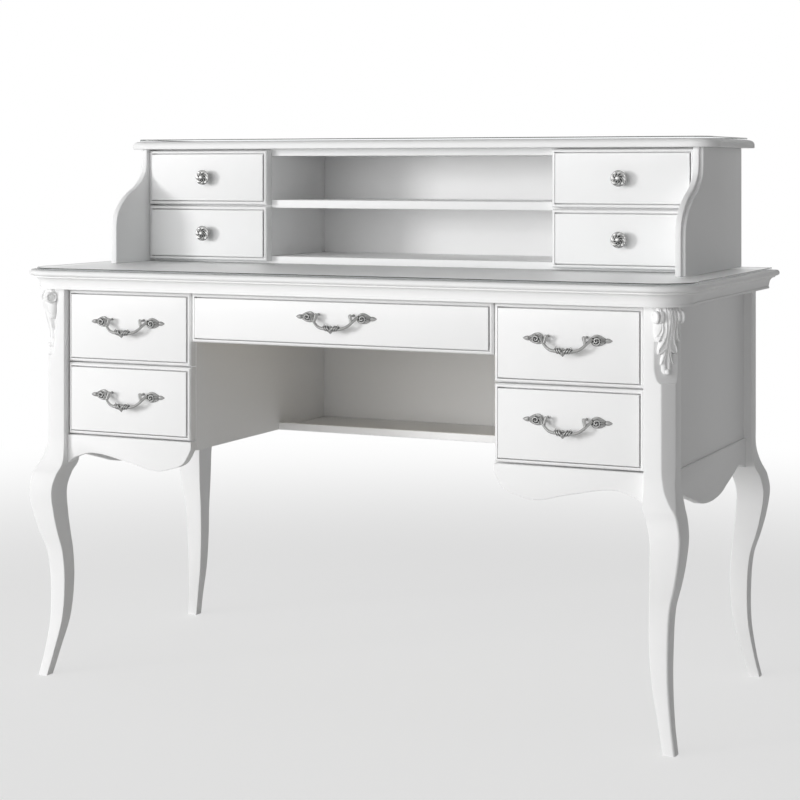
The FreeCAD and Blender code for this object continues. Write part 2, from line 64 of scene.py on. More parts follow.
# Camera of the photograph, and the studio, in metres and degrees
camera_place = (1.5611, -3.3896, 0.9701)
camera_turn = 24.66
camera_lens = 87.9
camera_sensor = 36.0
camera_rise = -0.29
key_place = (-8.4, -9.4, 1.9)
key_aim = (0.0, 0.0, 0.75)
key_size = 2.7
key_power = 580.0
fill_place = (-2.6, -10.0, 1.6)
fill_aim = (0.0, 0.0, 0.6)
fill_size = 8.0
fill_power = 530.0
sky_level = 0.20
floor_size = 14.0
floor_near = 1.1            # from here the floor fades, until it is white at floor_far
floor_far = 3.4
floor_lift = 0.60           # share of plain white in the floor near the desk

# Patterns in the finishes, in millimetres
paint_cloud = 90.0
paint_peel = 5.0            # really about 1 mm across, and drawn coarser to show
grain_wide = 9.0
grain_long = 160.0
cast_grit = 2.5             # really under a millimetre, and drawn coarser to show
cast_hollow = 2.6           # how near other metal has to be to darken a hollow
edge_grind = 8.0            # really a fine scratch, and drawn coarser to show

# Modelling: distances in millimetres, angles in degrees
skin_weld = 0.002
board_weld = 0.01
board_flat = 0.5            # angle under which a board's triangles are one flat face
square_on = 0.9             # share of a normal along a direction that counts as looking that way
depth_match = 0.05
corner_share = 0.46         # the most of a side that a rounded corner takes
bevel_angle = 40.0
smooth_edge = 15.0          # angles up to which pieces are shaded as smooth: tops and glass,
smooth_worked = 24.0        # legs and drawer fronts,
smooth_board = 30.0         # boards,
smooth_carved = 40.0        # leaves, pulls and knobs

# Posts and legs, in millimetres from the floor and from the middle of the desk
half = 625.0
front = -272.8
rear = 294.2
post = 50.5
top_under = 740.0
leg_height = 440.0
knee_out = 18.6
leg_outer_shares = (
    (0.000, 0.323), (0.102, -0.129), (0.250, -0.538), (0.409, -0.559), (0.534, -0.323), (0.625, 0.269),
    (0.705, 0.699), (0.807, 1.000), (0.877, 0.753), (0.918, 0.376), (1.000, 0.000), (1.080, 0.000),
)
leg_inner_shares = (
    (0.000, 1.882), (0.102, 1.344), (0.250, 0.591), (0.409, 0.323), (0.534, 0.403), (0.625, 0.618),
    (0.705, 0.780), (0.807, 0.860), (0.877, 0.484), (0.925, 0.000), (1.000, 0.000), (1.080, 0.000),
)
leg_step = 4.0
leg_arris = 2.0
leg_arris_steps = 4
chamfer_low = 13.8
chamfer_high = 22.6
flat_length = 128.0
flat_stop = 30.0
stop_steps = 12
tongue_top = 457.0
tongue_length = 71.0
tongue_reach = 20.6
tongue_shares = ((0.0, 0.0), (0.30, 0.10), (0.60, 0.38), (0.82, 0.70), (1.0, 1.0))

# Carved leaf: out from the post's flat, across it, and up from the leaf's tip as a share of its length
leaf_top = 739.0
leaf_length = 112.0
leaf_proud = 21.0
leaf_least = 1.0
leaf_side_shares = (
    (0.00, 0.12), (0.03, 0.26), (0.10, 0.26), (0.20, 0.22), (0.34, 0.34), (0.50, 0.58), (0.66, 0.84),
    (0.82, 0.97), (0.93, 0.84), (1.00, 0.62),
)
leaf_fall = 0.0011          # how much the leaf falls away from its middle, for each square millimetre
leaf_rows = 150
# Outline of each pair of lobes from its tips up: share up, then half width
leaf_lobes = (
    (
        (0.595, 19.6), (0.607, 20.8), (0.64, 22.4), (0.70, 23.6), (0.80, 24.3), (0.90, 23.4), (0.95, 21.0),
        (1.00, 18.0),
    ),
    ((0.384, 15.7), (0.42, 17.2), (0.46, 17.3), (0.53, 15.6), (0.588, 12.6)),
    ((0.212, 11.6), (0.24, 11.6), (0.30, 10.2), (0.376, 8.4)),
    ((0.000, 4.2), (0.03, 6.6), (0.08, 8.4), (0.14, 9.4), (0.204, 9.0)),
)
# Crests of the carving, from the middle rib outwards: share up, then across
leaf_crests = (
    ((0.21, 11.2), (0.25, 8.0), (0.335, 3.6), (0.42, 2.8), (0.60, 3.0), (1.00, 3.2)),
    (
        (0.384, 15.3), (0.43, 16.5), (0.475, 15.6), (0.502, 12.5), (0.554, 8.2), (0.666, 6.8), (0.81, 7.5),
        (1.00, 7.2),
    ),
    ((0.595, 19.2), (0.635, 16.6), (0.68, 14.4), (0.745, 13.0), (0.80, 13.4), (0.90, 14.6), (1.00, 15.2)),
    ((0.68, 23.4), (0.70, 20.6), (0.74, 17.4), (0.79, 15.8), (0.86, 15.8), (0.92, 16.4), (1.00, 16.8)),
)
crest_columns = 8
crest_drop = 2.8            # how far a lobe stands over the hollow of the next one in
crest_step = 0.4
crest_gap = 4.0             # hollows narrower than this are shallower
lobe_round = 3.4
lobe_droop = 0.6            # how far a row of the leaf falls for each millimetre outwards
droop_head = 0.25           # shares of the length over which the droop fades, at the head
droop_tip = 0.12            # and at the tip
lobe_lift = 1.2
lobe_run = 0.10             # the share above a lobe's tip over which it lifts
curl_r = 4.8
curl_half = 4.8
curl_out = 5.4
curl_rings = 13
curl_sides = 24
curl_end = 0.1              # share of a step that is left off at each end
scroll_r = 11.0
scroll_out = 9.4
scroll_drop = 16.0
scroll_sides = 40
# A scroll from its root to its eye: across the leaf, then radius
scroll_rings = (
    (14.2, 11.0), (17.4, 10.8), (18.2, 8.6), (19.4, 7.8), (20.4, 9.2), (21.8, 10.6), (23.8, 11.0),
    (25.6, 10.6), (26.6, 9.8), (26.9, 8.6), (25.8, 7.6), (25.0, 6.2), (25.6, 5.0), (26.4, 3.8), (26.6, 2.4),
    (26.8, 0.02),
)
scroll_shift = 0.30         # how far each ring slides off the middle, for each millimetre of lost radius

# Tops and their glass
top_side = 663.5
top_front = -312.8
top_back = 303.2
top_radius = 88.0
top_bulge = 5.0
top_thick = 36.0
top_glass_inset = 14.96
hutch_top_side = 615.0
hutch_top_front = 6.2
hutch_top_radius = 46.0
hutch_top_bulge = 3.0
hutch_under = 1008.0
hutch_top_thick = 16.0
hutch_nose = 14.0
hutch_edge = 6.4
hutch_arris = 1.2
# Corners of the desk top's moulding, from below: inset from the outline, then rise
desk_foot = ((20.0, 0.0), (20.0, 4.0), (21.8, 4.0), (21.8, 5.2))
desk_fillet = ((8.4, 22.0), (8.4, 24.4), (7.2, 24.4))
# Arcs of both mouldings: middle, radii, start and end in degrees, and steps
desk_cove = ((9.3, 5.2), (11.2, 16.8), 0, 90, 10)
desk_nose_low = ((6.6, 30.0), (6.6, 5.2), 270, 180, 8)
desk_nose_high = ((5.4, 30.0), (5.4, 5.8), 180, 92, 8)
hutch_round = ((hutch_nose, hutch_edge), (hutch_nose, hutch_top_thick - hutch_edge), 180, 90, 10)
glass_thick = 4.0
glass_arris = 0.7
glass_lift = 0.15
glass_clear = 2.3           # height on the edge up to which the white paint behind shows through
corner_steps = 28

# Rounded edges of boards: width, then segments
panel_edge = (0.8, 2)
apron_edge = (1.6, 3)
shelf_edge = (1.2, 3)
hutch_board_edge = (1.0, 3)
box_edge = (0.6, 2)

# Drawer fronts
field_rise = 2.6
ovolo = 5.4
ovolo_steps = 6
border = 8.0
groove = 2.3
groove_deep = 12.0
field_arris = 0.5
field_arris_steps = 3

# Pulls, from their middle on the drawer's field: x along, y outwards, z up
pull_up = 10.0
# Leaf and bud of a pull: x, top, bottom and how far out
pull_leaf = (
    (43.0, 3.2, -3.4, 4.6), (45.0, 7.0, -7.4, 7.0), (49.5, 9.6, -9.6, 8.2), (55.0, 9.9, -9.9, 8.4),
    (60.0, 8.4, -8.8, 7.6), (64.5, 6.2, -6.8, 6.2), (67.5, 4.4, -4.8, 4.8), (69.0, 2.8, -3.0, 3.0),
)
pull_bud = (
    (68.2, 2.4, -2.8, 3.0), (69.8, 3.8, -4.1, 4.0), (73.0, 3.9, -4.2, 4.2), (77.0, 2.6, -3.0, 3.0),
    (80.6, 0.3, -0.6, 0.4),
)
# How they are ribbed: steps along, ribs, swirl in radians, and a rib's depth as a share
leaf_ribs = (40, 14, 9, 0.22)
bud_ribs = (20, 6, 3, 0.14)
petal_columns = 40
# Paths of a pull's arm, ear, foot and hook: share along, then x, out and z
pull_arm = (
    (0.00, 47.0, 7.0, 2.5), (0.14, 42.8, 10.6, -1.6), (0.30, 38.0, 14.0, -6.8), (0.46, 33.0, 16.6, -11.8),
    (0.62, 26.5, 19.2, -16.0), (0.78, 18.5, 20.4, -18.2), (0.90, 10.0, 20.6, -18.8), (1.00, 0.0, 20.6, -18.4),
)
pull_ear = (
    (0.0, 32.8, 12.2, 7.6), (0.35, 34.0, 12.6, 3.8), (0.70, 35.6, 13.2, -1.8), (1.0, 37.0, 14.0, -6.8),
)
pull_foot = ((0.0, 35.0, 0.0, 5.0), (0.5, 34.8, 5.0, 4.6), (0.8, 34.6, 9.0, 4.0), (1.0, 34.6, 12.6, 3.4))
pull_hook = (
    (0.00, 8.0, 20.5, -18.0), (0.40, 12.4, 21.0, -16.0), (0.75, 14.2, 21.0, -12.6), (1.00, 12.6, 21.0, -11.2),
)
path_step = 0.01            # share of a path over which its direction is taken
stem_beads = (32, 4, 0.2)   # points round, beads, and their depth as a share
arm_r = 2.5
arm_waist = 0.3
arm_steps = 48
ear_r = 3.3
ear_taper = 0.9
ear_blunt = 8               # power that keeps the ear thick close to its end
ear_least = 0.01
ear_steps = 20
foot_r = 2.4
foot_taper = 0.6
foot_sides = 20
foot_steps = 12
hook_r = 1.9
hook_taper = 1.2
hook_sides = 12
hook_steps = 16
# Rings of a pull's knot: x, radius, and radius of the ring's section
pull_hoops = ((4.2, 5.8, 1.40), (8.4, 5.4, 1.35), (12.4, 4.6, 1.25))
hoop_lean = 0.75
hoop_steps = 28
hoop_sides = 10
# Hanging drop: share down, then radius
pull_drop = ((0.0, 0.1), (0.12, 3.2), (0.32, 2.5), (0.55, 4.3), (0.80, 3.0), (1.0, 0.05))
drop_top = -12.5
drop_length = 15.4
drop_out = 22.5
drop_steps = 30
drop_beads = (40, 5, 0.16)
# Spiral on a pull's leaf
eye_x = 54.5
eye_z = -0.4
eye_out = 6.6
eye_rise = 2.4
eye_wide = 6.4
eye_least = 1.0
eye_squash = 0.95
eye_start = 1.15            # half turns
eye_turns = 3.1
eye_r = 1.0
eye_swell = 0.3
eye_steps = 60
eye_sides = 10

# Knobs: their stem and rim, then the ball on their middle, as radius and how far out
knob_stem = (
    (6.4, 0.0), (6.6, 0.8), (5.2, 2.4), (4.6, 6.0), (5.4, 10.0), (9.0, 12.4), (13.6, 14.2), (14.8, 15.6),
    (15.0, 16.8), (14.8, 18.0), (14.0, 18.8),
)
knob_ball = ((4.3, 21.2), (4.6, 22.2), (4.4, 23.4), (3.6, 24.4), (2.0, 24.9), (0.02, 25.0))
knob_sides = 96
face_r = 14.0
face_narrows = 9.6
face_out = 18.8
face_dome = 3.4
face_rings = 21
blades = 8
blade_deep = 3.8
blade_least = 0.15          # share of a blade's depth at the rim and at the ball
blade_swirl = 1.1
blade_sharp = 1.5


def linear(hex_colour):
    """An sRGB hex colour as linear red, green, blue and alpha."""
    parts = [int(hex_colour[i:i + 2], 16) / 255 for i in (1, 3, 5)]
    return [c / 12.92 if c < 0.04045 else ((c + 0.055) / 1.055) ** 2.4 for c in parts] + [1.0]


def add(tree, kind, values=None, links=None, **settings):
    """A node with its settings, its sockets' values and the sockets that feed it."""
    made = tree.nodes.new(kind)
    for key, value in settings.items():
        setattr(made, key, value)
    for key, value in (values or {}).items():
        made.inputs[key].default_value = value
    for key, socket in (links or {}).items():
        tree.links.new(socket, made.inputs[key])
    return made


def new_material(name):
    """An empty material and its node tree."""
    material = bpy.data.materials.new(name)
    material.use_nodes = True
    material.node_tree.nodes.clear()
    return material, material.node_tree


# Sockets of a mix node that mixes colours
mix_dark = 6
mix_light = 7
mixed_colour = 2


def white_lacquer():
    """Sprayed satin lacquer on wood: an even soft sheen, a faint peel, and a white that hardly varies."""
    material, tree = new_material("white_lacquer")
    place = add(tree, "ShaderNodeTexCoord").outputs["Object"]
    cloud = add(
        tree, "ShaderNodeTexNoise", {"Scale": 1 / (paint_cloud * mm), "Detail": 3.0}, {"Vector": place}
    )
    peel = add(
        tree, "ShaderNodeTexNoise", {"Scale": 1 / (paint_peel * mm), "Detail": 2.0}, {"Vector": place}
    )
    bump = add(
        tree, "ShaderNodeBump", {"Strength": 0.06, "Distance": 0.4 * mm}, {"Height": peel.outputs["Fac"]}
    )
    white = add(
        tree, "ShaderNodeMix", {mix_dark: linear("#F9F9F9"), mix_light: linear("#FDFDFD")},
        {"Factor": cloud.outputs["Fac"]}, data_type="RGBA",
    )
    rough = add(
        tree, "ShaderNodeMapRange", {"To Min": 0.42, "To Max": 0.52}, {"Value": cloud.outputs["Fac"]}
    )
    paint = add(
        tree, "ShaderNodeBsdfPrincipled", {"IOR": 1.47, "Specular IOR Level": 0.2},
        {
            "Base Color": white.outputs[mixed_colour], "Roughness": rough.outputs["Result"],
            "Normal": bump.outputs["Normal"],
        },
    )
    add(tree, "ShaderNodeOutputMaterial", links={"Surface": paint.outputs["BSDF"]})
    return material


def drawer_wood():
    """Sanded pale hardwood: fine straight grain along the drawer, dull and dry."""
    material, tree = new_material("pale_birch")
    place = add(tree, "ShaderNodeTexCoord").outputs["Object"]
    across = 1 / (grain_wide * mm)
    stretched = add(
        tree, "ShaderNodeMapping", {"Scale": (across, 1 / (grain_long * mm), across)}, {"Vector": place}
    )
    grain = add(
        tree, "ShaderNodeTexNoise", {"Scale": 1.0, "Detail": 6.0, "Roughness": 0.62},
        {"Vector": stretched.outputs["Vector"]},
    )
    streak = add(
        tree, "ShaderNodeMapRange", {"From Min": 0.32, "From Max": 0.70}, {"Value": grain.outputs["Fac"]}
    )
    tan = add(
        tree, "ShaderNodeMix", {mix_dark: linear("#D6CAB4"), mix_light: linear("#EAE1CF")},
        {"Factor": streak.outputs["Result"]}, data_type="RGBA",
    )
    bump = add(
        tree, "ShaderNodeBump", {"Strength": 0.12, "Distance": 0.3 * mm}, {"Height": grain.outputs["Fac"]}
    )
    wood = add(
        tree, "ShaderNodeBsdfPrincipled", {"Roughness": 0.62, "IOR": 1.5},
        {"Base Color": tan.outputs[mixed_colour], "Normal": bump.outputs["Normal"]},
    )
    add(tree, "ShaderNodeOutputMaterial", links={"Surface": wood.outputs["BSDF"]})
    return material


def antique_silver():
    """Cast zinc plated and rubbed back: bright on what stands out, nearly black in the hollows."""
    material, tree = new_material("antique_silver")
    place = add(tree, "ShaderNodeTexCoord").outputs["Object"]
    hollow = add(tree, "ShaderNodeAmbientOcclusion", {"Distance": cast_hollow * mm}, samples=8)
    grit = add(tree, "ShaderNodeTexNoise", {"Scale": 1 / (cast_grit * mm), "Detail": 4.0}, {"Vector": place})
    worn = add(
        tree, "ShaderNodeMapRange", {"From Min": 0.47, "From Max": 0.85}, {"Value": hollow.outputs["AO"]}
    )
    grey = add(
        tree, "ShaderNodeMix", {mix_dark: linear("#161617"), mix_light: linear("#A6A6A5")},
        {"Factor": worn.outputs["Result"]}, data_type="RGBA",
    )
    bump = add(
        tree, "ShaderNodeBump", {"Strength": 0.25, "Distance": 0.25 * mm}, {"Height": grit.outputs["Fac"]}
    )
    rough = add(
        tree, "ShaderNodeMapRange", {"To Min": 0.34, "To Max": 0.52}, {"Value": grit.outputs["Fac"]}
    )
    metal = add(
        tree, "ShaderNodeBsdfPrincipled", {"Metallic": 1.0},
        {
            "Base Color": grey.outputs[mixed_colour], "Roughness": rough.outputs["Result"],
            "Normal": bump.outputs["Normal"],
        },
    )
    add(tree, "ShaderNodeOutputMaterial", links={"Surface": metal.outputs["BSDF"]})
    return material


def clear_glass():
    """Polished float glass laid on the paint: clear from above, a mirror at a low angle."""
    material, tree = new_material("clear_float_glass")
    clear = add(tree, "ShaderNodeBsdfTransparent", {"Color": linear("#FBFCFC")})
    shine = add(tree, "ShaderNodeBsdfGlossy", {"Roughness": 0.42})
    fresnel = add(tree, "ShaderNodeFresnel", {"IOR": 1.5})
    inside = add(tree, "ShaderNodeNewGeometry").outputs["Backfacing"]
    outside = add(tree, "ShaderNodeMath", {0: 1.0}, {1: inside}, operation="SUBTRACT")
    gloss = add(
        tree, "ShaderNodeMath", links={0: fresnel.outputs["Fac"], 1: outside.outputs[0]}, operation="MULTIPLY"
    )
    mixed = add(
        tree, "ShaderNodeMixShader",
        links={0: gloss.outputs[0], 1: clear.outputs["BSDF"], 2: shine.outputs["BSDF"]},
    )
    add(tree, "ShaderNodeOutputMaterial", links={"Surface": mixed.outputs["Shader"]})
    return material


def glass_edge():
    """The edge of the glass, smoothed by grinding, drawn as a dark grey-green line: the glass's own green
    tint, darkened with painted shade for all its depth seen end on.
    """
    material, tree = new_material("glass_edge_tint_and_painted_shade")
    place = add(tree, "ShaderNodeTexCoord").outputs["Object"]
    grind = add(
        tree, "ShaderNodeTexNoise", {"Scale": 1 / (edge_grind * mm), "Detail": 3.0}, {"Vector": place}
    )
    # Painted shade: the edge's grey-green is darkened to stand for the glass's depth seen end on.
    green = add(
        tree, "ShaderNodeMix", {mix_dark: linear("#2C302F"), mix_light: linear("#414544")},
        {"Factor": grind.outputs["Fac"]}, data_type="RGBA",
    )
    edge = add(
        tree, "ShaderNodeBsdfPrincipled", {"Roughness": 0.22, "IOR": 1.5},
        {"Base Color": green.outputs[mixed_colour]},
    )
    add(tree, "ShaderNodeOutputMaterial", links={"Surface": edge.outputs["BSDF"]})
    return material


paint = white_lacquer()
birch = drawer_wood()
silver = antique_silver()
glass = clear_glass()
edge_tint_and_shade = glass_edge()


def eased(table, at):
    """A table's second value at a first value, on a smooth curve through its rows."""
    if at <= table[0][0]:
        return table[0][1]
    for i in range(len(table) - 1):
        if at <= table[i + 1][0]:
            break
    else:
        return table[-1][1]
    before, low, high, after = table[max(i - 1, 0)], table[i], table[i + 1], table[min(i + 2, len(table) - 1)]
    span = high[0] - low[0]
    t = (at - low[0]) / span
    rise_low = (high[1] - before[1]) / (high[0] - before[0]) * span
    rise_high = (after[1] - low[1]) / (after[0] - low[0]) * span
    return (
        (2 * t ** 3 - 3 * t ** 2 + 1) * low[1] + (t ** 3 - 2 * t ** 2 + t) * rise_low
        + (3 * t ** 2 - 2 * t ** 3) * high[1] + (t ** 3 - t ** 2) * rise_high
    )


def eased_row(table, at):
    """A table's second to fourth values at a first value."""
    return [eased([(row[0], row[i]) for row in table], at) for i in (1, 2, 3)]


def wave(t):
    """A cosine that runs between nothing and one."""
    return 0.5 + 0.5 * cos(t)


def circle_turns(count):
    """Angles evenly round a circle."""
    return [2 * pi * k / count for k in range(count)]


def rounded(corners, radius, steps):
    """The outline of a polygon with each corner rounded off."""
    outline = []
    for i, corner in enumerate(corners):
        ends = []
        for other in (corners[i - 1], corners[(i + 1) % len(corners)]):
            way = Vector(other) - Vector(corner)
            ends.append(Vector(corner) + way.normalized() * min(radius, way.length * corner_share))
        for k in range(steps + 1):
            t = k / steps
            outline.append(ends[0] * (1 - t) ** 2 + Vector(corner) * 2 * t * (1 - t) + ends[1] * t ** 2)
    return outline


def edit(obj):
    """Opens one object for editing with nothing of it selected."""
    bpy.ops.object.select_all(action="DESELECT")
    bpy.context.view_layer.objects.active = obj
    obj.select_set(True)
    bpy.ops.object.mode_set(mode="EDIT")
    bpy.ops.mesh.select_all(action="DESELECT")


def close(obj):
    """Ends editing with the faces turned outwards."""
    bpy.ops.mesh.select_all(action="SELECT")
    bpy.ops.mesh.normals_make_consistent(inside=False)
    bpy.ops.object.mode_set(mode="OBJECT")
    return obj


def skinned(rings):
    """A closed skin over rings of points, each ring joined to the next, from a grid bent round on itself."""
    columns = len(rings[0])
    bpy.ops.object.select_all(action="DESELECT")
    bpy.ops.mesh.primitive_grid_add(x_subdivisions=columns, y_subdivisions=len(rings) - 1, size=1)
    obj = bpy.context.object
    places = [ring[k % columns] for ring in rings for k in range(columns + 1)]
    for vertex, place in zip(obj.data.vertices, places):
        vertex.co = Vector(place) * mm
    edit(obj)
    bpy.ops.mesh.select_all(action="SELECT")
    bpy.ops.mesh.remove_doubles(threshold=skin_weld * mm)
    bpy.ops.mesh.select_all(action="SELECT")
    bpy.ops.mesh.fill_holes(sides=0)
    return close(obj)


def copied(obj):
    """A copy of a piece, with its own mesh."""
    other = obj.copy()
    other.data = obj.data.copy()
    bpy.context.scene.collection.objects.link(other)
    return other


def mirrored(obj):
    """A copy of a piece for the other side of the middle, its faces turned outwards again."""
    other = copied(obj)
    for vertex in other.data.vertices:
        vertex.co.x = -vertex.co.x
    edit(other)
    return close(other)


def moved(obj, x, y, z):
    """A piece with its mesh moved."""
    for vertex in obj.data.vertices:
        vertex.co += Vector((x, y, z))
    return obj


def joined(pieces):
    """Several pieces as one."""
    bpy.ops.object.select_all(action="DESELECT")
    for piece in pieces:
        piece.select_set(True)
    bpy.context.view_layer.objects.active = pieces[0]
    bpy.ops.object.join()
    return pieces[0]


def bevelled(obj, width, segments):
    """A board with its sharp edges rounded."""
    bevel = obj.modifiers.new("arris", "BEVEL")
    bevel.width = width * mm
    bevel.segments = segments
    bevel.limit_method = "ANGLE"
    bevel.angle_limit = radians(bevel_angle)
    bpy.context.view_layer.objects.active = obj
    bpy.ops.object.modifier_apply(modifier=bevel.name)
    return obj


def settle(obj, node, slot, *materials, angle=smooth_board):
    """Names a finished piece for the node that it stands for, and gives it its finish and its body."""
    obj.name = node + "_finished"
    obj.data.name = obj.name
    for material in materials:
        obj.data.materials.append(material)
    bpy.ops.object.select_all(action="DESELECT")
    obj.select_set(True)
    bpy.context.view_layer.objects.active = obj
    bpy.ops.object.shade_smooth_by_angle(angle=radians(angle))
    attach(obj, frame["nodes"][node]["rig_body"])
    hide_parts(node)
    return obj


def sawn(node):
    """A copy of a board as it left the saw, its triangles merged back into flat faces."""
    obj = bpy.data.objects.new(node, frame["nodes"][node].data.copy())
    bpy.context.scene.collection.objects.link(obj)
    obj.data.materials.clear()
    edit(obj)
    bpy.ops.mesh.select_all(action="SELECT")
    bpy.ops.mesh.remove_doubles(threshold=board_weld * mm)
    bpy.ops.mesh.dissolve_limited(angle_limit=radians(board_flat))
    bpy.ops.object.mode_set(mode="OBJECT")
    return obj


# Desk top, hutch top and their glass
def kinked(inset, level, side, ahead, radius, bulge):
    """A top's outline at one inset and level: each round corner passes the straight side at a kink."""
    xc = side + bulge - radius
    yc = ahead + radius
    r = radius - inset
    stop = acos((side - inset - xc) / r)
    turns = [stop - (stop + pi / 2) * k / corner_steps for k in range(corner_steps + 1)]
    right = [(side - inset, top_back)] + [(xc + r * cos(t), yc + r * sin(t)) for t in turns]
    return [(x, y, level) for x, y in right] + [(-x, y, level) for x, y in right[::-1]]


def arc_points(middle, radii, start, end, steps):
    """Points along an arc from one angle to another."""
    turns = [radians(start + (end - start) * k / steps) for k in range(steps + 1)]
    return [(middle[0] + radii[0] * cos(t), middle[1] + radii[1] * sin(t)) for t in turns]


desk_section = [
    *desk_foot, *arc_points(*desk_cove), *desk_fillet, *arc_points(*desk_nose_low),
    *arc_points(*desk_nose_high)[1:], (top_glass_inset, top_thick),
]
hutch_section = [(hutch_arris, 0), (0, hutch_arris), (0, hutch_edge), *arc_points(*hutch_round)[1:]]
desk_outline = (top_side, top_front, top_radius, top_bulge)
hutch_outline = (hutch_top_side, hutch_top_front, hutch_top_radius, hutch_top_bulge)
for node, section, low, outline in (
    ("desk_top", desk_section, top_under, desk_outline),
    ("hutch_top", hutch_section, hutch_under, hutch_outline),
):
    top = skinned([kinked(inset, low + rise, *outline) for inset, rise in section])
    settle(top, node, "white_lacquer", paint, angle=smooth_edge)

glass_section = (
    (glass_arris, glass_lift), (0, glass_lift + glass_arris), (0, glass_clear),
    (0, glass_thick - glass_arris), (glass_arris, glass_thick),
)
for node, inset, low, outline in (
    ("desk_top_glass", top_glass_inset, top_under + top_thick, desk_outline),
    ("hutch_top_glass", hutch_nose, hutch_under + hutch_top_thick, hutch_outline),
):
    sheet = skinned([kinked(inset + more, low + rise, *outline) for more, rise in glass_section])
    settle(sheet, node, "clear_glass", glass, edge_tint_and_shade, angle=smooth_edge)
    # Faces on the edge above glass_clear take the dark edge material, with its painted shade; the faces below
    # it stay clear.
    for polygon in sheet.data.polygons:
        on_edge = abs(polygon.normal.z) < square_on and polygon.center.z > (low + glass_clear) * mm
        polygon.material_index = 1 if on_edge else 0


# Posts and legs
def chamfer_at(z, with_flat):
    """How far out on the diagonal the chamfer lies, from the square corner of the post."""
    stop = top_under - flat_length
    if with_flat and z >= stop:
        share = min(1, (z - stop) / flat_stop)
        return -chamfer_low - (chamfer_high - chamfer_low) * sqrt(1 - (1 - share) ** 2)
    if z > tongue_top:
        return -chamfer_low
    run_out = (tongue_top - z) / tongue_length
    if run_out > 1:
        return post
    return -chamfer_low + (chamfer_low + tongue_reach) * eased(tongue_shares, run_out)


def leg_section(z, with_flat, corner_y, ahead):
    """The right leg's outline at one height, with its outer corner chamfered or softly rounded."""
    out = knee_out * eased(leg_outer_shares, z / leg_height)
    inner = knee_out * eased(leg_inner_shares, z / leg_height) - post
    reach = min(chamfer_at(z, with_flat), out * sqrt(2) - leg_arris)
    near = reach * sqrt(2) - out
    corners = [(inner, inner), (out, inner), (out, near), (near, out), (inner, out)]
    return [(half + a, corner_y + ahead * b, z) for a, b in rounded(corners, leg_arris, leg_arris_steps)]


def leg(with_flat, corner_y, ahead):
    """A post and its leg, closest ringed where the flat stops in a round."""
    stop = top_under - flat_length
    full = flat_length - flat_stop
    levels = [leg_step * k for k in range(round(stop / leg_step))]
    levels += [stop + flat_stop * (1 - cos(pi / 2 * k / stop_steps)) for k in range(stop_steps + 1)]
    levels += [stop + flat_stop + full * k / stop_steps for k in range(1, stop_steps + 1)]
    return skinned([leg_section(z, with_flat, corner_y, ahead) for z in levels])


for name, right in (("front", leg(True, front, -1)), ("rear", leg(False, rear, 1))):
    settle(mirrored(right), name + "_left_leg", "white_lacquer", paint, angle=smooth_worked)
    settle(right, name + "_right_leg", "white_lacquer", paint, angle=smooth_worked)


# Carved leaves on the front posts, worked flat: x across, y out and z up
def leaf_bow(across, v):
    """How far the leaf stands out at a place on it, before it is carved."""
    return leaf_proud * eased(leaf_side_shares, v) * (1 - leaf_fall * across ** 2)


def leaf_row(v):
    """One row of the leaf from its middle outwards: places across it, and how far out each is."""
    lobe = next(one for one in leaf_lobes if v >= one[0][0])
    wide = eased(lobe, v)
    ends = []
    for crest in leaf_crests:
        ends.append(min(max([eased(crest, v)] + ends), wide))
    ends.append(wide)
    last = max(i for i in range(len(ends)) if i == 0 or ends[i] - ends[i - 1] > 2 * crest_step)
    points = []
    start = 0.0
    for i, end in enumerate(ends):
        span = max(0, end - start)
        narrow = min(1, span / crest_gap)
        for k in range(crest_columns + 1):
            t = k / crest_columns
            across = start + span * t
            # Past the last lobe of the row the fall stays what it was at that lobe's edge.
            if i == 0:
                fall = crest_drop * narrow * (2 * t - 1) ** 2
            elif i < last:
                fall = crest_drop * narrow * (1 - (1 - t) ** 2)
            elif i == last:
                fall = lobe_round * narrow * (1 - sqrt(1 - t ** 2))
            lift = lobe_lift * (across / wide) ** 2 * max(0, 1 - (v - lobe[0][0]) / lobe_run) ** 2
            points.append((across, max(leaf_least, leaf_bow(across, v) - fall + lift)))
        start = min(end + crest_step, wide)
    return points + [(wide, 0)]


def leaf_sheet():
    """The leaf from its tip to its head: lobes with sharp crests, each over the hollow of the next."""
    rings = []
    for i in range(leaf_rows + 1):
        v = i / leaf_rows
        level = leaf_top - leaf_length * (1 - v)
        droop = lobe_droop * min(1, (1 - v) / droop_head, v / droop_tip)
        right = leaf_row(v)
        row = [(-across, out) for across, out in right[:0:-1]] + right
        rings.append([(across, out, level - droop * abs(across)) for across, out in row])
    return skinned(rings)


def roll(across, out, z, r, sides):
    """A ring of points round an axis that runs across the leaf."""
    return [(across, out + r * cos(t), z + r * sin(t)) for t in circle_turns(sides)]


def leaf_scroll():
    """The rolled scroll on one side of the leaf's head, hollowed towards its eye."""
    rings = []
    for across, r in scroll_rings:
        shift = scroll_shift * (scroll_r - r)
        rings.append(roll(across, scroll_out - shift, leaf_top - scroll_drop + shift / 2, r, scroll_sides))
    return skinned(rings)


def leaf_curl():
    """The small roll that ends the leaf's tongue."""
    low = leaf_top - leaf_length + curl_r
    steps = curl_rings - 1 + 2 * curl_end
    turns = [pi * (k + curl_end) / steps for k in range(curl_rings)]
    return skinned([roll(-curl_half * cos(t), curl_out, low, curl_r * sin(t), curl_sides) for t in turns])


def carved_leaf():
    """The whole leaf, turned to lie on the flat of the right front post."""
    scroll = leaf_scroll()
    whole = joined([leaf_sheet(), leaf_curl(), scroll, mirrored(scroll)])
    for vertex in whole.data.vertices:
        across, out, z = vertex.co
        d = (out - chamfer_high * mm) / sqrt(2)
        s = across / sqrt(2)
        vertex.co = (half * mm + d + s, front * mm - d + s, z)
    edit(whole)
    return close(whole)


leaf = carved_leaf()
settle(mirrored(leaf), "left_leaf", "white_lacquer", paint, angle=smooth_carved)
settle(leaf, "right_leaf", "white_lacquer", paint, angle=smooth_carved)


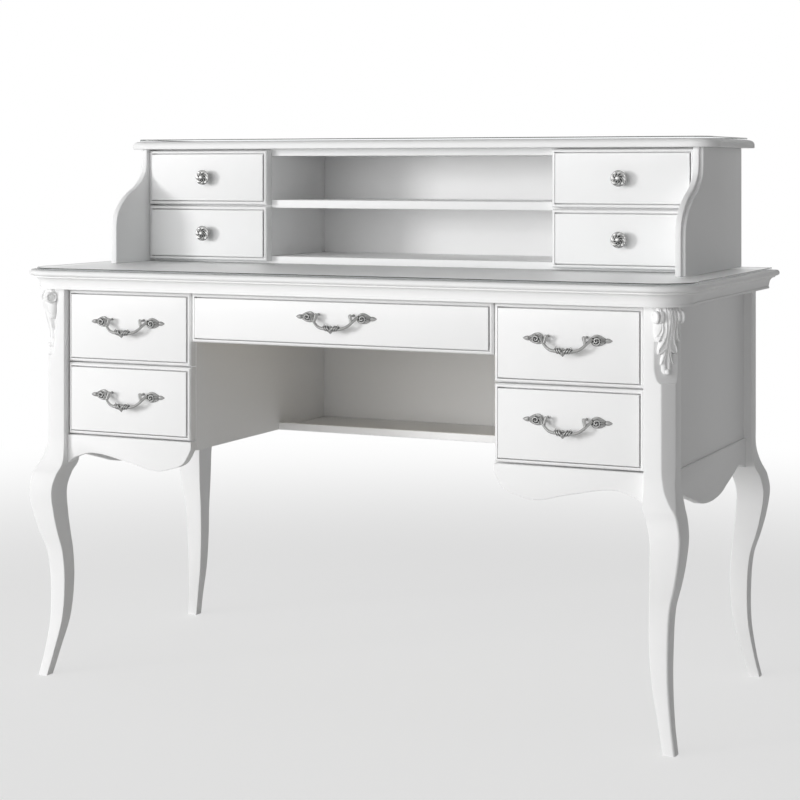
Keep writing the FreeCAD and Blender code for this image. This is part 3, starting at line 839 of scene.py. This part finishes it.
# Boards, panels and aprons
for node, edge in (
    ("right_side_panel", panel_edge), ("left_side_panel", panel_edge),
    ("right_inner_panel", panel_edge), ("left_inner_panel", panel_edge),
    ("right_side_apron", apron_edge), ("left_side_apron", apron_edge),
    ("right_front_apron", apron_edge), ("left_front_apron", apron_edge),
    ("pedestal_bottoms", panel_edge), ("pedestal_middle_boards", panel_edge), ("pedestal_backs", panel_edge),
    ("kneehole_back", panel_edge), ("kneehole_shelf", shelf_edge),
    ("hutch_right_side", apron_edge), ("hutch_left_side", apron_edge),
    ("hutch_dividers", shelf_edge), ("hutch_boards", hutch_board_edge), ("hutch_shelf", shelf_edge),
    ("hutch_back", panel_edge),
):
    settle(bevelled(sawn(node), *edge), node, "white_lacquer", paint)
settle(bevelled(sawn("drawer_runners"), *panel_edge), "drawer_runners", "drawer_wood", birch)


# Drawers
def facing(obj, y):
    """Selects the faces of an open piece that look forwards at one depth."""
    bpy.ops.object.mode_set(mode="OBJECT")
    for polygon in obj.data.polygons:
        polygon.select = polygon.normal.y < -square_on and abs(polygon.center.y - y) < depth_match * mm
    bpy.ops.object.mode_set(mode="EDIT")
    bpy.ops.mesh.select_mode(type="FACE")


def pushed(y):
    """Extrudes what is selected along the drawer's depth."""
    bpy.ops.mesh.extrude_region_move(TRANSFORM_OT_translate={"value": (0, y * mm, 0)})


def raised_front(node):
    """A drawer front with a quarter round, a flat, a groove and a raised field, worked into one board."""
    low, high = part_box(node)
    plate_y = low.y + field_rise * mm
    bpy.ops.object.select_all(action="DESELECT")
    bpy.ops.mesh.primitive_cube_add(size=1)
    obj = bpy.context.object
    for vertex in obj.data.vertices:
        vertex.co.x = low.x if vertex.co.x < 0 else high.x
        vertex.co.y = plate_y if vertex.co.y < 0 else high.y
        vertex.co.z = low.z if vertex.co.z < 0 else high.z
    edit(obj)
    facing(obj, plate_y)
    bpy.ops.mesh.bevel(offset=ovolo * mm, segments=ovolo_steps, affect="EDGES")
    facing(obj, plate_y)
    bpy.ops.mesh.inset(thickness=(border - groove - ovolo) * mm)
    pushed(groove_deep)
    bpy.ops.mesh.inset(thickness=groove * mm)
    pushed(-groove_deep - field_rise)
    bpy.ops.mesh.bevel(offset=field_arris * mm, segments=field_arris_steps, affect="EDGES")
    return close(obj)


inwards = Vector((0, 1, 0))
upwards = Vector((0, 0, 1))


def ring(middle, ahead, across, radii):
    """A ring of points round a middle, one to each radius, square to the way ahead."""
    ahead = ahead.normalized()
    other = ahead.cross(across).normalized()
    across = other.cross(ahead).normalized()
    turns = circle_turns(len(radii))
    return [Vector(middle) + (across * cos(t) + other * sin(t)) * r for t, r in zip(turns, radii)]


def on_path(path, t):
    """A point of a path at a share of its length."""
    x, out, z = eased_row(path, t)
    return Vector((x, -out, z))


def swept(path, across, radii, steps):
    """A stem along a path; radii gives the ring's radii at a share of its length."""
    rings = []
    for k in range(steps + 1):
        t = k / steps
        ahead = on_path(path, min(1, t + path_step)) - on_path(path, max(0, t - path_step))
        rings.append(ring(on_path(path, t), ahead, across, radii(t)))
    return skinned(rings)


def petal(table, steps, ribs, swirl, rib):
    """A ribbed half round leaf that lies on the drawer, from rows of x, top, bottom and out."""
    rings = []
    first, last = table[0][0], table[-1][0]
    for i in range(steps + 1):
        x = first + (last - first) * i / steps
        top, bottom, out = eased_row(table, x)
        points = []
        for k in range(petal_columns + 1):
            t = pi * k / petal_columns
            stroke = 1 - rib * wave(ribs * t + swirl * i / steps)
            middle = (top + bottom) / 2
            points.append((x, -out * sin(t) * stroke, middle + (top - bottom) / 2 * cos(t)))
        rings.append(points)
    return skinned(rings)


def eye():
    """The raised spiral on a pull's leaf, from the hooked end at its foot to the eye."""
    rings = []
    for k in range(eye_steps + 1):
        t = k / eye_steps
        turn = pi * (eye_start + eye_turns * t)
        r = eye_wide * (1 - t) + eye_least
        middle = (eye_x + r * cos(turn), -eye_out - eye_rise * t, eye_z + eye_squash * r * sin(turn))
        ahead = Vector((-sin(turn), 0, cos(turn)))
        rings.append(ring(middle, ahead, inwards, [eye_r + eye_swell * t] * eye_sides))
    return skinned(rings)


def hoop(x, big, small):
    """One slanted ring of a pull's knot."""
    axis = Vector((1, 0, -hoop_lean)).normalized()
    knot = Vector((x, -pull_arm[-1][2], pull_arm[-1][3]))
    rings = []
    for t in circle_turns(hoop_steps):
        spoke = inwards * cos(t) + axis.cross(inwards) * sin(t)
        rings.append(ring(knot + spoke * big, axis.cross(spoke), axis, [small] * hoop_sides))
    return skinned(rings + rings[:1])


def beaded(r, points, beads, depth):
    """Radii of a section with beads round it and a hollow between each two."""
    return [r * (1 + depth * cos(beads * t)) for t in circle_turns(points)]


def arm_radii(t):
    return beaded(arm_r - arm_waist * sin(pi * t), *stem_beads)


def ear_radii(t):
    return beaded((ear_r - ear_taper * t) * sqrt(1 - (1 - t) ** ear_blunt) + ear_least, *stem_beads)


def foot_radii(t):
    return [foot_r - foot_taper * t] * foot_sides


def hook_radii(t):
    return [hook_r - hook_taper * t] * hook_sides


def drop_leaf():
    """The ribbed leaf that hangs from the pull's knot."""
    rings = []
    for k in range(drop_steps + 1):
        t = k / drop_steps
        radii = beaded(eased(pull_drop, t), *drop_beads)
        rings.append(ring((0, -drop_out, drop_top - drop_length * t), -upwards, -inwards, radii))
    return skinned(rings)


def pull():
    """A cast pull: leaves and buds on the field, feet, beaded arms, a knot of slanted rings and a drop."""
    side = [
        petal(pull_leaf, *leaf_ribs),
        petal(pull_bud, *bud_ribs),
        eye(),
        swept(pull_arm, inwards, arm_radii, arm_steps),
        swept(pull_ear, inwards, ear_radii, ear_steps),
        swept(pull_foot, upwards, foot_radii, foot_steps),
        swept(pull_hook, inwards, hook_radii, hook_steps),
    ]
    side += [hoop(*one) for one in pull_hoops]
    return joined(side + [mirrored(piece) for piece in side] + [drop_leaf()])


def turned(table):
    """Rings of a round piece that stands out from the drawer, from rows of radius and how far out."""
    return [ring((0, -out, 0), -inwards, upwards, [r] * knob_sides) for r, out in table]


def knob():
    """A cast rosette knob: a neck, a bright rim, swirled blades with dark hollows, and a ball."""
    rings = turned(knob_stem)
    for i in range(1, face_rings + 1):
        share = i / face_rings
        r = face_r - face_narrows * share
        dome = face_out + face_dome * sin(pi / 2 * share)
        depth = blade_deep * min(1, 4 * share * (1 - share) + blade_least)
        points = []
        for t in circle_turns(knob_sides):
            blade = wave(blades * (t + blade_swirl * share))
            points.append((r * sin(t), -(dome - depth * (1 - blade) ** blade_sharp), r * cos(t)))
        rings.append(points)
    return skinned(rings + turned(knob_ball))


patterns = {"pull": pull(), "knob": knob()}
drawers = [body for body in frame["bodies"] if body.endswith("_drawer")]
for name in drawers:
    settle(raised_front(name + "_front"), name + "_front", "white_lacquer", paint, angle=smooth_worked)
    settle(bevelled(sawn(name + "_box"), *box_edge), name + "_box", "drawer_wood", birch)
    low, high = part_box(name + "_front")
    kind = "knob" if name.startswith("hutch") else "pull"
    rise = pull_up * mm if kind == "pull" else 0
    handle = moved(copied(patterns[kind]), (low.x + high.x) / 2, low.y, (low.z + high.z) / 2 + rise)
    settle(handle, name + "_" + kind, "antique_silver", silver, angle=smooth_carved)
for pattern in patterns.values():
    bpy.data.objects.remove(pattern)


# Studio
def studio_floor():
    """A pale floor that keeps the desk's shadow near it and fades into the white background further off."""
    bpy.ops.object.select_all(action="DESELECT")
    bpy.ops.mesh.primitive_plane_add(size=floor_size)
    floor = bpy.context.object
    floor.name = "studio_floor"
    material, tree = new_material("pale_studio_floor")
    coat = add(tree, "ShaderNodeBsdfPrincipled", {"Base Color": linear("#EDEDEC"), "Roughness": 0.7})
    glow = add(tree, "ShaderNodeEmission", {"Color": linear("#FFFFFF"), "Strength": 1.0})
    place = add(tree, "ShaderNodeTexCoord").outputs["Object"]
    away = add(tree, "ShaderNodeVectorMath", links={0: place}, operation="LENGTH")
    fade = add(
        tree, "ShaderNodeMapRange", {"From Min": floor_near, "From Max": floor_far, "To Min": floor_lift},
        {"Value": away.outputs["Value"]}, interpolation_type="SMOOTHSTEP",
    )
    path = add(tree, "ShaderNodeLightPath")
    seen = add(
        tree, "ShaderNodeMath", links={0: path.outputs["Is Camera Ray"], 1: path.outputs["Is Glossy Ray"]},
        operation="MAXIMUM",
    )
    share = add(
        tree, "ShaderNodeMath", links={0: fade.outputs["Result"], 1: seen.outputs[0]}, operation="MULTIPLY"
    )
    mixed = add(
        tree, "ShaderNodeMixShader",
        links={0: share.outputs[0], 1: coat.outputs["BSDF"], 2: glow.outputs["Emission"]},
    )
    add(tree, "ShaderNodeOutputMaterial", links={"Surface": mixed.outputs["Shader"]})
    floor.data.materials.append(material)


def studio_world():
    """A white background for the camera, for gloss and through glass, and a soft even sky elsewhere."""
    world = bpy.data.worlds.new("soft_studio")
    world.use_nodes = True
    tree = world.node_tree
    tree.nodes.clear()
    path = add(tree, "ShaderNodeLightPath")
    sky = add(tree, "ShaderNodeBackground", {"Color": linear("#FFFFFF"), "Strength": sky_level})
    white = add(tree, "ShaderNodeBackground", {"Color": linear("#FFFFFF"), "Strength": 1.0})
    seen = add(
        tree, "ShaderNodeMath", links={0: path.outputs["Is Camera Ray"], 1: path.outputs["Is Glossy Ray"]},
        operation="MAXIMUM",
    )
    seen = add(
        tree, "ShaderNodeMath", links={0: seen.outputs[0], 1: path.outputs["Is Transmission Ray"]},
        operation="MAXIMUM",
    )
    mixed = add(
        tree, "ShaderNodeMixShader",
        links={0: seen.outputs[0], 1: sky.outputs["Background"], 2: white.outputs["Background"]},
    )
    add(tree, "ShaderNodeOutputWorld", links={"Surface": mixed.outputs["Shader"]})
    bpy.context.scene.world = world


def soft_box(name, place, aim, size, power):
    """A square studio lamp at a place, turned to what it lights."""
    lamp = bpy.data.lights.new(name, "AREA")
    lamp.energy = power
    lamp.shape = "SQUARE"
    lamp.size = size
    box = bpy.data.objects.new(name, lamp)
    bpy.context.scene.collection.objects.link(box)
    box.location = place
    box.rotation_euler = (Vector(aim) - Vector(place)).to_track_quat("-Z", "Y").to_euler()


def photograph_camera():
    """The camera level at its height, with its lens shifted down to the desk."""
    lens = bpy.data.cameras.new("photograph")
    lens.lens = camera_lens
    lens.sensor_width = camera_sensor
    lens.shift_y = camera_rise
    camera = bpy.data.objects.new("photograph", lens)
    bpy.context.scene.collection.objects.link(camera)
    camera.location = camera_place
    camera.rotation_euler = (radians(90), 0, radians(camera_turn))
    bpy.context.scene.camera = camera


studio_floor()
studio_world()
soft_box("key", key_place, key_aim, key_size, key_power)
soft_box("fill", fill_place, fill_aim, fill_size, fill_power)
photograph_camera()
bpy.context.scene.view_settings.view_transform = "Standard"
